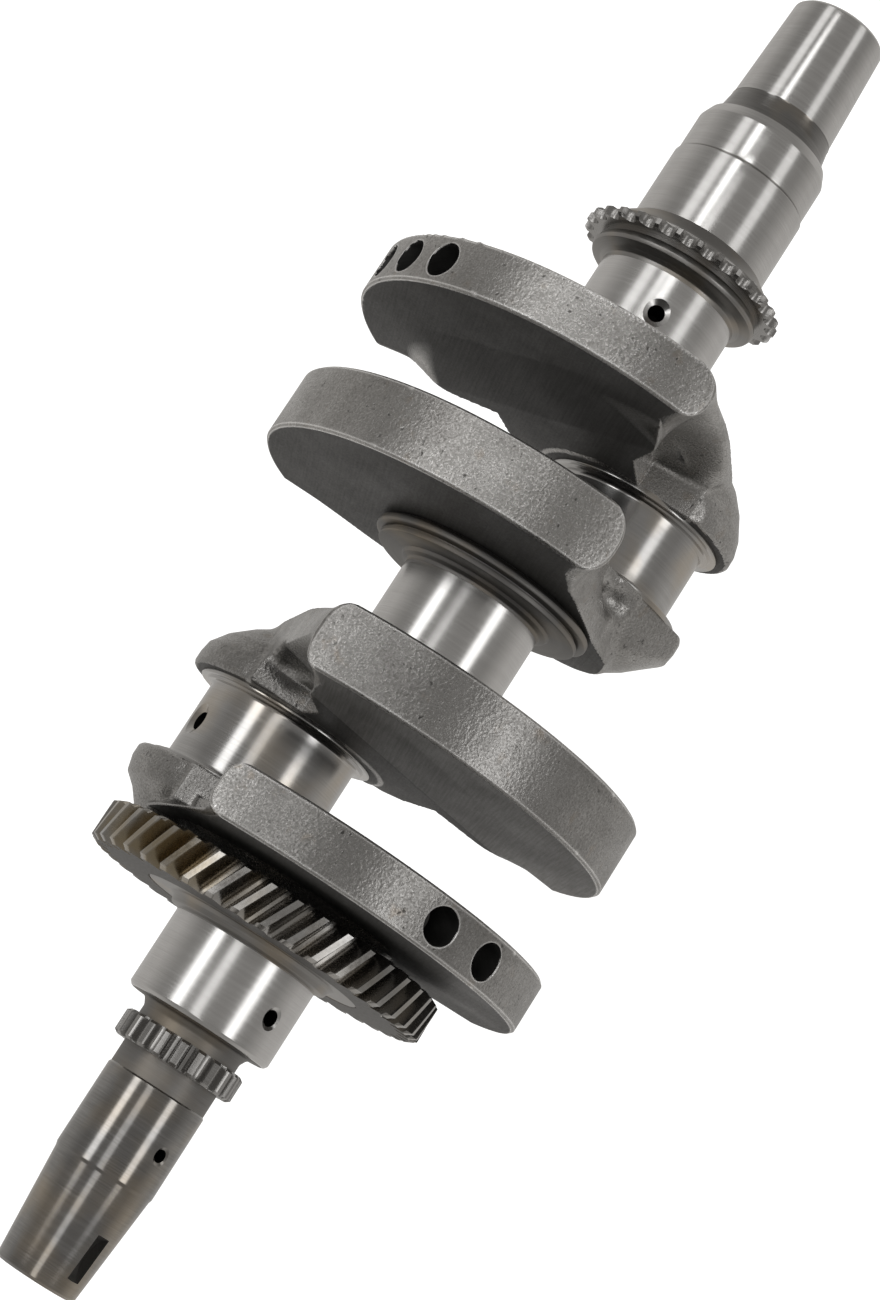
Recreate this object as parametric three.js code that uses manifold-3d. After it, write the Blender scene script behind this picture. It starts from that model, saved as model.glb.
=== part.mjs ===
// Forged two-throw crankshaft of a parallel-twin engine, modelled as the sections
// that an engine builder names.
// Frame: millimetres. +X runs along the crank axis from the flywheel end to the
// clutch end. The origin is on that axis, in the middle of the centre main journal.
// +Z points away from both crankpins and +Y is the side of crankpin 1.

import * as THREE from "three";
import { mergeVertices } from "three/addons/utils/BufferGeometryUtils.js";
import Module from "manifold-3d";

const wasm = await Module();
wasm.setup();

// ---------------------------------------------------------------- dimensions

const SEGMENTS = 48;
const HOLE_SEGMENTS = 20;
const FIT_GAP = 0.3;

// Stations along X, where one section ends and the next one starts.
const FLYWHEEL_END_X = -216;
const FLYWHEEL_SEAT_X = -182;
const GEAR_NECK_X = -154.25;
const PUMP_GEAR_X = -147.25;
const JOURNAL_1_NECK_X = -139.25;
const JOURNAL_1_X = -133.75;
const GEAR_SEAT_X = -108.75;
const DRIVE_GEAR_X = -105.25;
const DRIVE_GEAR_END_X = -92.25;
const JOURNAL_3_X = 98;
const SPROCKET_COLLAR_X = 121.5;
const SPROCKET_X = 129;
const SEAL_CONE_X = 132.25;
const SEAL_JOURNAL_X = 139;
const CLUTCH_SHOULDER_X = 163.5;
const CLUTCH_NECK_X = 180;
const CLUTCH_TAPER_X = 188.5;
const CLUTCH_END_X = 224;

// The webs mirror each other about the centre journal. Throw 1 is on the -X side.
const CENTRE_JOURNAL_HALF = 11.75;
const INNER_WEB_NEAR = 20.25;
const INNER_WEB_FAR = 41.25;
const OUTER_WEB_NEAR = 71.75;
const OUTER_WEB_FAR = 87.75;
// A rim runs from one angle to another, from the middle of its counterweight.
const THROW_1 = { side: -1, angle: -45, innerLobeFace: 43.25, outerLobeFace: 71.75, rim: [-77, 68] };
const THROW_2 = { side: 1, angle: 45, innerLobeFace: 41.5, outerLobeFace: 68.25, rim: [-65, 77] };

// Running surfaces.
const MAIN_R = 22.5;
const JOURNAL_1_R = 23;
const CRANKPIN_R = 25;
const THROW = 37.75;
const THRUST_DISC_R = 29.5;
const THRUST_DISC_PROUD = 1.25;

// Webs and counterweights.
const COUNTERWEIGHT_R = 76.6;
const COUNTERWEIGHT_CORNER_R = 9;
// One side of the neck is full. The other side, where a web leans up towards the
// other throw, is notched above the crankpin, or plain on web 3.
const FULL_NECK = [[20, -THROW], [33, -23], [33, -12], [27.5, 7]];
const NOTCHED_NECK = [[20, -THROW], [32, -26], [20, -12.5], [29, 4]];
const PLAIN_NECK = [[20, -THROW], [27, -30], [26, -13], [44, 13]];
const CREASE_Y = 15;
const SLOPE_CORNER_Y = 20;
const SLOPE_END_Y = 45;
const SLOPE_HALF = 38;
const LOBE_R = 33.2;
const WEB_1_DETAILS = { hubEnd: -DRIVE_GEAR_END_X, hubR: 32, holeAngles: [-32, -47.5] };
const WEB_4_DETAILS = { hubEnd: JOURNAL_3_X, hubR: 26, holeAngles: [49.5, 62.5, 76] };
const BALANCE_HOLE_R = 5.6;
const BALANCE_HOLE_DEPTH = 17;
const RIM_END_R = COUNTERWEIGHT_R - COUNTERWEIGHT_CORNER_R;

// Gears and sprocket.
const DRIVE_GEAR = { teeth: 41, tipR: 54.9, rootR: 48.6, boreR: 35.2, helixDegrees: 26 };
const PUMP_GEAR = { teeth: 21, tipR: 19.2, rootR: 16.5 };
const SPROCKET = { teeth: 29, tipR: 33, rootR: 30 };
const GEAR_SEAT_R = DRIVE_GEAR.boreR - FIT_GAP;

// Shaft ends, from the flywheel end to the clutch end.
const FLYWHEEL_TAPER = { smallR: 12.6, largeR: 15.4, chamfer: 2 };
const FLYWHEEL_SEAT_R = 15.75;
const GEAR_NECK_R = 15.3;
const JOURNAL_1_NECK_R = 16;
const SPROCKET_COLLAR_R = 28;
const SEAL_CONE_R = 29.8;
const SEAL_JOURNAL_R = 22.2;
const CLUTCH_SHOULDER_R = 21.6;
const CLUTCH_NECK_R = 17.2;
const CLUTCH_TAPER = { largeR: 16.9, smallR: 15.4, chamfer: 2 };
const END_THREAD = { radius: 5.2, depth: 32, chamfer: 1.5 };
const KEY_SLOT = { x: -203.75, length: 14, width: 5, depth: 4.5, angle: -46 };

// Oil drillings. They are blind, and end inside the shaft at fromR.
const SEAT_OIL_HOLE = { x: -169.5, angle: -46, radius: 2.3, fromR: 8, toR: 20 };
const JOURNAL_1_OIL_HOLE = { x: -121.5, angle: -46, radius: 3.2, fromR: 10, toR: 26 };
const JOURNAL_3_OIL_HOLE = { x: 109.5, angle: 0, radius: 2.4, fromR: 8, toR: 26 };
const PIN_OIL_HOLE = { x: 58, radius: 3, fromR: 12, toR: 30 };
const PIN_OIL_HOLE_LEAD = 71;
const COUNTERSINK = { radius: 4.8, depth: 1.5 };

// ---------------------------------------------------------------- materials

const forgedSteel = () =>
  new THREE.MeshStandardMaterial({ color: 0x6e6c68, roughness: 0.6, metalness: 0.8 });
const groundSteel = () =>
  new THREE.MeshStandardMaterial({ color: 0xb4b2ac, roughness: 0.25, metalness: 1 });
const turnedSteel = () =>
  new THREE.MeshStandardMaterial({ color: 0x8d8a84, roughness: 0.4, metalness: 0.95 });
const gearSteel = () =>
  new THREE.MeshStandardMaterial({ color: 0x77726a, roughness: 0.4, metalness: 0.9 });

// ---------------------------------------------------------------- solids

function toSolid(geometry) {
  const bare = geometry.clone();
  bare.deleteAttribute("normal");
  bare.deleteAttribute("uv");
  const merged = mergeVertices(bare, 1e-4);
  const corners = merged.index.array;
  const kept = [];
  for (let i = 0; i < corners.length; i += 3) {
    const [a, b, c] = [corners[i], corners[i + 1], corners[i + 2]];
    if (a !== b && b !== c && c !== a) kept.push(a, b, c);
  }
  const vertProperties = new Float32Array(merged.attributes.position.array);
  return new wasm.Manifold(
    new wasm.Mesh({ numProp: 3, vertProperties, triVerts: new Uint32Array(kept) }),
  );
}

function toMesh(name, solid, material) {
  const { vertProperties, triVerts } = solid.getMesh();
  const geometry = new THREE.BufferGeometry();
  geometry.setAttribute("position", new THREE.BufferAttribute(vertProperties, 3));
  geometry.setIndex(new THREE.BufferAttribute(triVerts, 1));
  geometry.computeVertexNormals();
  const mesh = new THREE.Mesh(geometry, material);
  mesh.name = name;
  return mesh;
}

function joined(solids) {
  return solids.reduce((whole, solid) => whole.add(solid));
}

// A solid of revolution about the X axis. The outline is a list of [x, radius]
// in order of x, and it starts and ends on the axis.
function revolved(outline, segments = SEGMENTS) {
  const points = outline.map(([x, radius]) => new THREE.Vector2(radius, x));
  const closed = [new THREE.Vector2(0, outline[0][0]), ...points];
  closed.push(new THREE.Vector2(0, outline.at(-1)[0]));
  const geometry = new THREE.LatheGeometry(closed, segments);
  const axisToX = new THREE.Matrix4().makeBasis(
    new THREE.Vector3(0, 0, 1),
    new THREE.Vector3(1, 0, 0),
    new THREE.Vector3(0, 1, 0),
  );
  return toSolid(geometry.applyMatrix4(axisToX));
}

// An outline for the -X or +X side of the shaft, from one given for the +X side.
function mirrored(side, outline) {
  const placed = outline.map(([x, radius]) => [side * x, radius]);
  return side > 0 ? placed : placed.reverse();
}

// The direction square to the crank axis at an angle from +Z towards +Y.
function radial(degrees) {
  const angle = THREE.MathUtils.degToRad(degrees);
  return new THREE.Vector3(0, Math.sin(angle), Math.cos(angle));
}

// A flat shape with its y axis towards the given angle, thickened from one
// station to another along X.
function plate(shape, fromX, toX, degrees = 0) {
  const geometry = new THREE.ExtrudeGeometry(shape, {
    depth: toX - fromX,
    bevelEnabled: false,
    curveSegments: 14,
  });
  const up = radial(degrees);
  const across = radial(degrees + 90);
  const placed = new THREE.Matrix4().makeBasis(across, up, new THREE.Vector3(1, 0, 0));
  placed.setPosition(fromX, 0, 0);
  return toSolid(geometry.applyMatrix4(placed));
}

// A round drilling square to the crank axis. It points at that axis unless
// another centre is given.
function radialDrill({ x, angle, radius, fromR, toR }, centre = new THREE.Vector3()) {
  const drill = new THREE.CylinderGeometry(radius, radius, toR - fromR, HOLE_SEGMENTS);
  const outward = radial(angle);
  const turn = new THREE.Quaternion().setFromUnitVectors(new THREE.Vector3(0, 1, 0), outward);
  drill.applyQuaternion(turn);
  const middle = outward.multiplyScalar((fromR + toR) / 2).add(centre);
  return toSolid(drill.translate(x, middle.y, middle.z));
}

// The threaded hole in one end of the shaft, at the minor radius of its thread.
// side is -1 at the flywheel end and 1 at the clutch end.
function endThread(side) {
  const { radius, depth, chamfer } = END_THREAD;
  const face = side > 0 ? CLUTCH_END_X : -FLYWHEEL_END_X;
  const outline = [
    [face - depth, radius],
    [face - chamfer, radius],
    [face, radius + chamfer],
    [face + 1, radius + chamfer],
  ];
  return revolved(mirrored(side, outline), HOLE_SEGMENTS);
}

// ---------------------------------------------------------------- flywheel end

function flywheelTaper() {
  const { smallR, largeR, chamfer } = FLYWHEEL_TAPER;
  const taper = revolved([
    [FLYWHEEL_END_X, smallR - chamfer],
    [FLYWHEEL_END_X + chamfer, smallR],
    [FLYWHEEL_SEAT_X, largeR],
  ]);
  return taper.subtract(endThread(-1)).subtract(keySlot());
}

// A straight slot for the key, with its floor level along X.
function keySlot() {
  const { x, length, width, depth, angle } = KEY_SLOT;
  const openingR = FLYWHEEL_TAPER.smallR + 1;
  const box = new THREE.BoxGeometry(length, width, 2 * depth);
  const up = radial(angle);
  const along = new THREE.Vector3(1, 0, 0);
  const placed = new THREE.Matrix4().makeBasis(along, up.clone().cross(along), up);
  placed.setPosition(up.clone().multiplyScalar(openingR).setX(x));
  return toSolid(box.applyMatrix4(placed));
}

function flywheelSeat() {
  const seat = revolved([
    [FLYWHEEL_SEAT_X, FLYWHEEL_TAPER.largeR],
    [FLYWHEEL_SEAT_X + 1, FLYWHEEL_SEAT_R],
    [GEAR_NECK_X - 0.5, FLYWHEEL_SEAT_R],
    [GEAR_NECK_X, GEAR_NECK_R],
  ]);
  return seat.subtract(radialDrill(SEAT_OIL_HOLE));
}

function gearNeck() {
  return revolved([
    [GEAR_NECK_X, GEAR_NECK_R],
    [PUMP_GEAR_X, GEAR_NECK_R],
  ]);
}

// ---------------------------------------------------------------- gears

// A tooth profile as [fraction of the pitch, fraction of the tooth height].
function toothedOutline({ teeth, tipR, rootR }, toothShape) {
  const points = [];
  for (let tooth = 0; tooth < teeth; tooth += 1) {
    for (const [along, height] of toothShape) {
      const angle = ((tooth + along) * 2 * Math.PI) / teeth;
      const radius = rootR + height * (tipR - rootR);
      points.push(new THREE.Vector2(radius * Math.sin(angle), radius * Math.cos(angle)));
    }
  }
  return new THREE.Shape(points);
}

const GEAR_TOOTH = [[-0.36, 0], [-0.17, 0.72], [-0.12, 1], [0.12, 1], [0.17, 0.72], [0.36, 0]];
const ROUND_TOOTH = [[-0.32, 0], [-0.18, 0.8], [0, 1], [0.18, 0.8], [0.32, 0]];

function pumpGear() {
  return plate(toothedOutline(PUMP_GEAR, ROUND_TOOTH), PUMP_GEAR_X, JOURNAL_1_NECK_X);
}

function gearSeat() {
  return revolved([
    [GEAR_SEAT_X, JOURNAL_1_R],
    [GEAR_SEAT_X + 0.75, 25],
    [DRIVE_GEAR_X - 1, GEAR_SEAT_R],
    [DRIVE_GEAR_END_X, GEAR_SEAT_R],
  ]);
}

// The drive gear is a ring on the gear seat. Its teeth twist along X, and both
// ends of the teeth are chamfered by a cone that leaves 2 mm of the tips off.
function driveGear() {
  const width = DRIVE_GEAR_END_X - DRIVE_GEAR_X;
  const slices = 2;
  const outline = toothedOutline(DRIVE_GEAR, GEAR_TOOTH);
  const geometry = new THREE.ExtrudeGeometry(outline, {
    depth: width,
    steps: slices,
    bevelEnabled: false,
  });
  const twistPerMm = Math.tan(THREE.MathUtils.degToRad(DRIVE_GEAR.helixDegrees)) / DRIVE_GEAR.tipR;
  const position = geometry.attributes.position;
  const point = new THREE.Vector3();
  for (let i = 0; i < position.count; i += 1) {
    point.fromBufferAttribute(position, i);
    const twist = -twistPerMm * point.z;
    const y = point.x * Math.cos(twist) + point.y * Math.sin(twist);
    const z = point.y * Math.cos(twist) - point.x * Math.sin(twist);
    position.setXYZ(i, DRIVE_GEAR_X + point.z, y, z);
  }
  const tipChamfer = 2;
  const envelope = revolved([
    [DRIVE_GEAR_X, DRIVE_GEAR.tipR - tipChamfer],
    [DRIVE_GEAR_X + 1, DRIVE_GEAR.tipR + 0.3],
    [DRIVE_GEAR_END_X - 1, DRIVE_GEAR.tipR + 0.3],
    [DRIVE_GEAR_END_X, DRIVE_GEAR.tipR - tipChamfer],
  ], 2 * DRIVE_GEAR.teeth);
  const bore = revolved([
    [DRIVE_GEAR_X - 1, DRIVE_GEAR.boreR],
    [DRIVE_GEAR_END_X + 1, DRIVE_GEAR.boreR],
  ]);
  return toSolid(geometry).intersect(envelope).subtract(bore);
}

function camSprocket() {
  return plate(toothedOutline(SPROCKET, ROUND_TOOTH), SPROCKET_X, SEAL_CONE_X);
}

// ---------------------------------------------------------------- journals

function journal1Neck() {
  return revolved([
    [JOURNAL_1_NECK_X, JOURNAL_1_NECK_R],
    [JOURNAL_1_X - 3, JOURNAL_1_NECK_R],
    [JOURNAL_1_X - 1.5, JOURNAL_1_NECK_R + 1.2],
    [JOURNAL_1_X - 0.5, JOURNAL_1_NECK_R + 3],
    [JOURNAL_1_X, JOURNAL_1_R - 1],
  ]);
}

function journal1() {
  const journal = revolved([
    [JOURNAL_1_X, JOURNAL_1_R - 1],
    [JOURNAL_1_X + 1, JOURNAL_1_R],
    [GEAR_SEAT_X, JOURNAL_1_R],
  ]);
  return journal.subtract(radialDrill(JOURNAL_1_OIL_HOLE));
}

function centreJournal() {
  return revolved([
    [-CENTRE_JOURNAL_HALF, MAIN_R],
    [CENTRE_JOURNAL_HALF, MAIN_R],
  ]);
}

// The collar between the centre journal and a web: a fillet, a thrust face, a
// shallow groove and a bead. side is -1 towards web 2 and 1 towards web 3.
function centreCollar(side) {
  const outline = [
    [CENTRE_JOURNAL_HALF, MAIN_R],
    [12.5, 23.25],
    [13.5, 25],
    [14.5, 34],
    [16.25, 34.5],
    [16.75, 36],
    [18.5, 36],
    [INNER_WEB_NEAR, 33],
  ];
  return revolved(mirrored(side, outline));
}

function journal3() {
  const journal = revolved([
    [JOURNAL_3_X, MAIN_R],
    [SPROCKET_COLLAR_X, MAIN_R],
  ]);
  const { x, radius } = JOURNAL_3_OIL_HOLE;
  const { radius: sinkR, depth } = COUNTERSINK;
  const sink = new THREE.CylinderGeometry(sinkR, radius, 2 * depth, HOLE_SEGMENTS);
  sink.rotateX(Math.PI / 2).translate(x, 0, MAIN_R - depth / 2);
  return journal.subtract(radialDrill(JOURNAL_3_OIL_HOLE)).subtract(toSolid(sink));
}

function sprocketCollar() {
  return revolved([
    [SPROCKET_COLLAR_X, MAIN_R],
    [SPROCKET_COLLAR_X + 1.25, 23.5],
    [SPROCKET_COLLAR_X + 3, SPROCKET_COLLAR_R - 0.8],
    [SPROCKET_COLLAR_X + 3.75, SPROCKET_COLLAR_R],
    [SPROCKET_X, SPROCKET_COLLAR_R],
  ]);
}

// ---------------------------------------------------------------- crankpins

function pinCentre(crankThrow) {
  return radial(crankThrow.angle).multiplyScalar(-THROW);
}

// The crankpin with its two thrust discs. Its oil hole is ahead of the line from
// the crank axis to the pin by the same angle on both throws.
function crankpin(crankThrow) {
  const { side, innerLobeFace, outerLobeFace } = crankThrow;
  const innerDisc = innerLobeFace + THRUST_DISC_PROUD;
  const outerDisc = outerLobeFace - THRUST_DISC_PROUD;
  const outline = [
    [innerLobeFace, THRUST_DISC_R],
    [innerDisc, THRUST_DISC_R],
    [innerDisc, CRANKPIN_R + 1],
    [innerDisc + 1, CRANKPIN_R],
    [outerDisc - 1, CRANKPIN_R],
    [outerDisc, CRANKPIN_R + 1],
    [outerDisc, THRUST_DISC_R],
    [outerLobeFace, THRUST_DISC_R],
  ];
  const centre = pinCentre(crankThrow);
  const pin = revolved(mirrored(side, outline)).translate([0, centre.y, centre.z]);
  const hole = {
    ...PIN_OIL_HOLE,
    x: side * PIN_OIL_HOLE.x,
    angle: crankThrow.angle + 180 - PIN_OIL_HOLE_LEAD,
  };
  return pin.subtract(radialDrill(hole, centre));
}

// ---------------------------------------------------------------- webs

// A point of the counterweight's rim, at an angle from the middle of the rim.
function rimPoint(angle, radius = COUNTERWEIGHT_R) {
  return [radius * Math.sin(angle), radius * Math.cos(angle)];
}

// Adds the rim to a web outline, from its +x end to its -x end, with round
// corners. The rim is an arc about the crank axis.
function addRim(shape, [left, right]) {
  const corner = COUNTERWEIGHT_CORNER_R / COUNTERWEIGHT_R;
  shape.lineTo(...rimPoint(right, RIM_END_R));
  shape.quadraticCurveTo(...rimPoint(right), ...rimPoint(right - corner));
  const [start, end] = [Math.PI / 2 - right + corner, Math.PI / 2 - left - corner];
  shape.absarc(0, 0, COUNTERWEIGHT_R, start, end, false);
  shape.quadraticCurveTo(...rimPoint(left), ...rimPoint(left, RIM_END_R));
}

// Adds the neck of one side, which runs from the crankpin to the counterweight on
// the +x side (direction 1) and back again on the -x side (direction -1).
function addNeck(shape, direction, side, nearNeck) {
  const neck = direction === -side ? nearNeck : FULL_NECK;
  const met = direction > 0 ? neck : neck.toReversed();
  met.forEach(([x, y]) => shape.lineTo(direction * x, y));
}

// The outline at the pin side, with the crankpin towards -y. It narrows to a
// waist between the counterweight and the crankpin.
function waistedShape({ side }, rim, nearNeck) {
  const shape = new THREE.Shape();
  shape.moveTo(-FULL_NECK[0][0], -THROW);
  addNeck(shape, 1, side, nearNeck);
  addRim(shape, rim);
  addNeck(shape, -1, side, nearNeck);
  return shape;
}

// The part of the pin side that can stand proud of the counterweight's face.
function raisedShape({ side }, nearNeck) {
  const shape = new THREE.Shape();
  shape.moveTo(-FULL_NECK[0][0], -THROW);
  addNeck(shape, 1, side, nearNeck);
  shape.lineTo(SLOPE_HALF, SLOPE_CORNER_Y);
  shape.lineTo(SLOPE_HALF, SLOPE_END_Y);
  shape.lineTo(-SLOPE_HALF, SLOPE_END_Y);
  shape.lineTo(-SLOPE_HALF, SLOPE_CORNER_Y);
  addNeck(shape, -1, side, nearNeck);
  return shape;
}

// The raised pin-side face. It is level with the lobe's face up to a crease, and
// slopes from there down to the face of the counterweight.
function raisedFace(crankThrow, face, plainFace, nearNeck) {
  const { side, angle } = crankThrow;
  const outward = Math.sign(face - plainFace);
  const [from, to] = [plainFace - outward, face].map((station) => side * station);
  const shape = raisedShape(crankThrow, nearNeck);
  const solid = plate(shape, Math.min(from, to), Math.max(from, to), angle);
  const fall = Math.abs(face - plainFace) / (SLOPE_END_Y - CREASE_Y);
  const inward = new THREE.Vector3(-side * outward, 0, 0).addScaledVector(radial(angle), -fall);
  const offset = -outward * face - fall * CREASE_Y;
  const scale = inward.length();
  return solid.trimByPlane(inward.divideScalar(scale).toArray(), offset / scale);
}

// The outline at the journal side. Its flanks run straight from the ends of
// the rim until they touch a circle about the crankpin.
function fanShape(rim, endR) {
  const touchAngle = (rimEnd, turn) => {
    const [x, y] = rimPoint(rimEnd, RIM_END_R);
    const opening = Math.acos(endR / Math.hypot(x, y + THROW));
    return Math.atan2(y + THROW, x) - turn * opening;
  };
  const [left, right] = rim;
  const shape = new THREE.Shape();
  const [start, end] = [touchAngle(left, -1), 2 * Math.PI + touchAngle(right, 1)];
  shape.absarc(0, -THROW, endR, start, end, false);
  addRim(shape, rim);
  shape.closePath();
  return shape;
}

// A web is a plate with the waisted outline at its pin side, a fan at its journal
// side, a raised face round the crankpin and the sloping lobe behind it.
function web(crankThrow, { near, far, pinSide, face, fanR, lobe, nearNeck }) {
  const { side, angle } = crankThrow;
  const middle = (near + far) / 2;
  const lap = 1;
  const fanSpan = pinSide > 0 ? [near, middle] : [middle, far];
  const waistSpan = pinSide > 0 ? [middle - lap, far] : [near, middle + lap];
  const plainFace = pinSide > 0 ? far : near;
  const span = ([from, to]) => (side > 0 ? [from, to] : [-to, -from]);
  const centre = pinCentre(crankThrow);
  const rim = crankThrow.rim.map(THREE.MathUtils.degToRad);
  const slope = revolved(mirrored(side, lobe)).translate([0, centre.y, centre.z]);
  return joined([
    plate(waistedShape(crankThrow, rim, nearNeck), ...span(waistSpan), angle),
    plate(fanShape(rim, fanR), ...span(fanSpan), angle),
    slope,
    ...(face === plainFace ? [] : [raisedFace(crankThrow, face, plainFace, nearNeck)]),
  ]);
}

function innerWeb(crankThrow, nearNeck) {
  const face = crankThrow.innerLobeFace;
  return web(crankThrow, {
    near: INNER_WEB_NEAR,
    far: INNER_WEB_FAR,
    pinSide: 1,
    face,
    nearNeck,
    fanR: 18.5,
    lobe: [
      [INNER_WEB_NEAR, 18],
      [INNER_WEB_NEAR + 5, 23.5],
      [INNER_WEB_NEAR + 10, 29],
      [face - 7, 32.6],
      [face - 4, LOBE_R],
      [face - 1.5, LOBE_R],
      [face, 31.5],
    ],
  });
}

// The outer webs also carry a hub, which runs on to the next section, and the
// radial balance drillings in the rim.
function outerWeb(crankThrow, { hubEnd, hubR, holeAngles }) {
  const { side, outerLobeFace: face } = crankThrow;
  const body = web(crankThrow, {
    near: OUTER_WEB_NEAR,
    far: OUTER_WEB_FAR,
    pinSide: -1,
    face,
    nearNeck: NOTCHED_NECK,
    fanR: 24,
    lobe: [
      [face, 31.5],
      [face + 1.5, LOBE_R],
      [face + 4, LOBE_R],
      [face + 8, 32],
      [OUTER_WEB_FAR - 5, 28.5],
      [OUTER_WEB_FAR, 24.5],
      [hubEnd - 0.5, 16],
    ],
  });
  const hub = revolved(mirrored(side, [[OUTER_WEB_FAR - 1, hubR + 5], [hubEnd, hubR]]));
  const holes = holeAngles.map((angle) =>
    radialDrill({
      x: (side * (OUTER_WEB_NEAR + OUTER_WEB_FAR)) / 2,
      angle,
      radius: BALANCE_HOLE_R,
      fromR: COUNTERWEIGHT_R - BALANCE_HOLE_DEPTH,
      toR: COUNTERWEIGHT_R + 3,
    }),
  );
  return holes.reduce((whole, hole) => whole.subtract(hole), joined([body, hub]));
}

// ---------------------------------------------------------------- clutch end

function sealCone() {
  return revolved([
    [SEAL_CONE_X, SEAL_CONE_R],
    [SEAL_JOURNAL_X, SEAL_JOURNAL_R + 0.3],
  ]);
}

function sealJournal() {
  return revolved([
    [SEAL_JOURNAL_X, SEAL_JOURNAL_R],
    [CLUTCH_SHOULDER_X - 0.5, SEAL_JOURNAL_R],
    [CLUTCH_SHOULDER_X, SEAL_JOURNAL_R - 0.75],
  ]);
}

function clutchShoulder() {
  return revolved([
    [CLUTCH_SHOULDER_X, CLUTCH_SHOULDER_R - 0.4],
    [CLUTCH_SHOULDER_X + 0.75, CLUTCH_SHOULDER_R],
    [CLUTCH_NECK_X - 3.5, CLUTCH_SHOULDER_R],
    [CLUTCH_NECK_X, CLUTCH_SHOULDER_R - 1.5],
  ]);
}

function clutchNeck() {
  return revolved([
    [CLUTCH_NECK_X, CLUTCH_NECK_R + 1.8],
    [CLUTCH_NECK_X + 1.5, CLUTCH_NECK_R + 0.6],
    [CLUTCH_NECK_X + 4, CLUTCH_NECK_R],
    [CLUTCH_TAPER_X, CLUTCH_NECK_R],
  ]);
}

function clutchTaper() {
  const { largeR, smallR, chamfer } = CLUTCH_TAPER;
  const taper = revolved([
    [CLUTCH_TAPER_X, largeR],
    [CLUTCH_END_X - chamfer, smallR],
    [CLUTCH_END_X, smallR - chamfer],
  ]);
  return taper.subtract(endThread(1));
}

// ---------------------------------------------------------------- assembly

const crankshaft = new THREE.Group();
const pieces = [
  ["flywheel_taper", flywheelTaper(), groundSteel()],
  ["flywheel_seat", flywheelSeat(), groundSteel()],
  ["pump_gear_neck", gearNeck(), turnedSteel()],
  ["oil_pump_drive_gear", pumpGear(), gearSteel()],
  ["main_journal_1_neck", journal1Neck(), turnedSteel()],
  ["main_journal_1", journal1(), groundSteel()],
  ["drive_gear_seat", gearSeat(), turnedSteel()],
  ["balancer_drive_gear", driveGear(), gearSteel()],
  ["web_1", outerWeb(THROW_1, WEB_1_DETAILS), forgedSteel()],
  ["crankpin_1", crankpin(THROW_1), groundSteel()],
  ["web_2", innerWeb(THROW_1, NOTCHED_NECK), forgedSteel()],
  ["centre_collar_a", centreCollar(-1), turnedSteel()],
  ["main_journal_2", centreJournal(), groundSteel()],
  ["centre_collar_b", centreCollar(1), turnedSteel()],
  ["web_3", innerWeb(THROW_2, PLAIN_NECK), forgedSteel()],
  ["crankpin_2", crankpin(THROW_2), groundSteel()],
  ["web_4", outerWeb(THROW_2, WEB_4_DETAILS), forgedSteel()],
  ["main_journal_3", journal3(), groundSteel()],
  ["sprocket_collar", sprocketCollar(), turnedSteel()],
  ["cam_chain_sprocket", camSprocket(), gearSteel()],
  ["seal_cone", sealCone(), turnedSteel()],
  ["seal_journal", sealJournal(), groundSteel()],
  ["clutch_shoulder", clutchShoulder(), groundSteel()],
  ["clutch_neck", clutchNeck(), turnedSteel()],
  ["clutch_taper", clutchTaper(), groundSteel()],
];
for (const [name, solid, material] of pieces) {
  crankshaft.add(toMesh(name, solid, material));
}

export default crankshaft;
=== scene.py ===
"""Finished look of a forged two-throw crankshaft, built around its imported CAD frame.

Shapes are in millimetres and become metres when a mesh is made. Materials, lights and the floor are
in metres. Along the shaft, s is the distance from the middle of the centre journal, on either side.
"""

import math

import bmesh
import bpy
import numpy as np
from mathutils import Matrix, Vector


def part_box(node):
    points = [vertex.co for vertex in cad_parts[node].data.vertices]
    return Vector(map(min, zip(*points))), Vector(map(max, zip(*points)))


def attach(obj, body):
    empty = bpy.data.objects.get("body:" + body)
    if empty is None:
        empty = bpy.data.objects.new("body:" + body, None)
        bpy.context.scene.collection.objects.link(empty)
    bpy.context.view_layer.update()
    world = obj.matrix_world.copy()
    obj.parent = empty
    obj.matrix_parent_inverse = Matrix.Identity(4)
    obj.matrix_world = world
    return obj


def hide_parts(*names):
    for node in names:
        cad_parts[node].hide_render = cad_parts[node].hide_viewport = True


MM = 0.001
# Edges sharper than this many degrees stay crisp
CRISP_FROM = 26

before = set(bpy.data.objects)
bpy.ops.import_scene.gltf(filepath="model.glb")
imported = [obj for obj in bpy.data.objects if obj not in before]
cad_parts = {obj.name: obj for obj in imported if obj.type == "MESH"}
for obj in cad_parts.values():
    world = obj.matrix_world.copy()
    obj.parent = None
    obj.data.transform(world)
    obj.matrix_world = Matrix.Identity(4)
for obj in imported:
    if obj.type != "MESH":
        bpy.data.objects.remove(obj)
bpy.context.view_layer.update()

# ------------------------ places from the frame


def span(node):
    """Where a CAD node starts and ends along the shaft."""
    low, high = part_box(node)
    return low.x / MM, high.x / MM


def middle(node):
    """The (y, z) middle of a CAD node."""
    low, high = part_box(node)
    return (low.y + high.y) / 2 / MM, (low.z + high.z) / 2 / MM


def radial(degrees):
    """The direction square to the shaft at an angle from +Z towards +Y, as (y, z)."""
    angle = math.radians(degrees)
    return np.array([math.sin(angle), math.cos(angle)])


# ------------------------ meshes


def new_object(name, verts, faces):
    """A mesh object in metres from corners in millimetres."""
    mesh = bpy.data.meshes.new(name)
    mesh.from_pydata((np.asarray(verts, float) * MM).tolist(), [], faces)
    mesh.update()
    obj = bpy.data.objects.new(name, mesh)
    bpy.context.scene.collection.objects.link(obj)
    return obj


def smooth(obj):
    """Smooth shading that stays crisp at sharper edges."""
    obj.data.shade_smooth()
    obj.data.set_sharp_from_angle(angle=math.radians(CRISP_FROM))


# A fillet takes at most this share of the line on each side of it
FILLET_SHARE = 0.48


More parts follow.
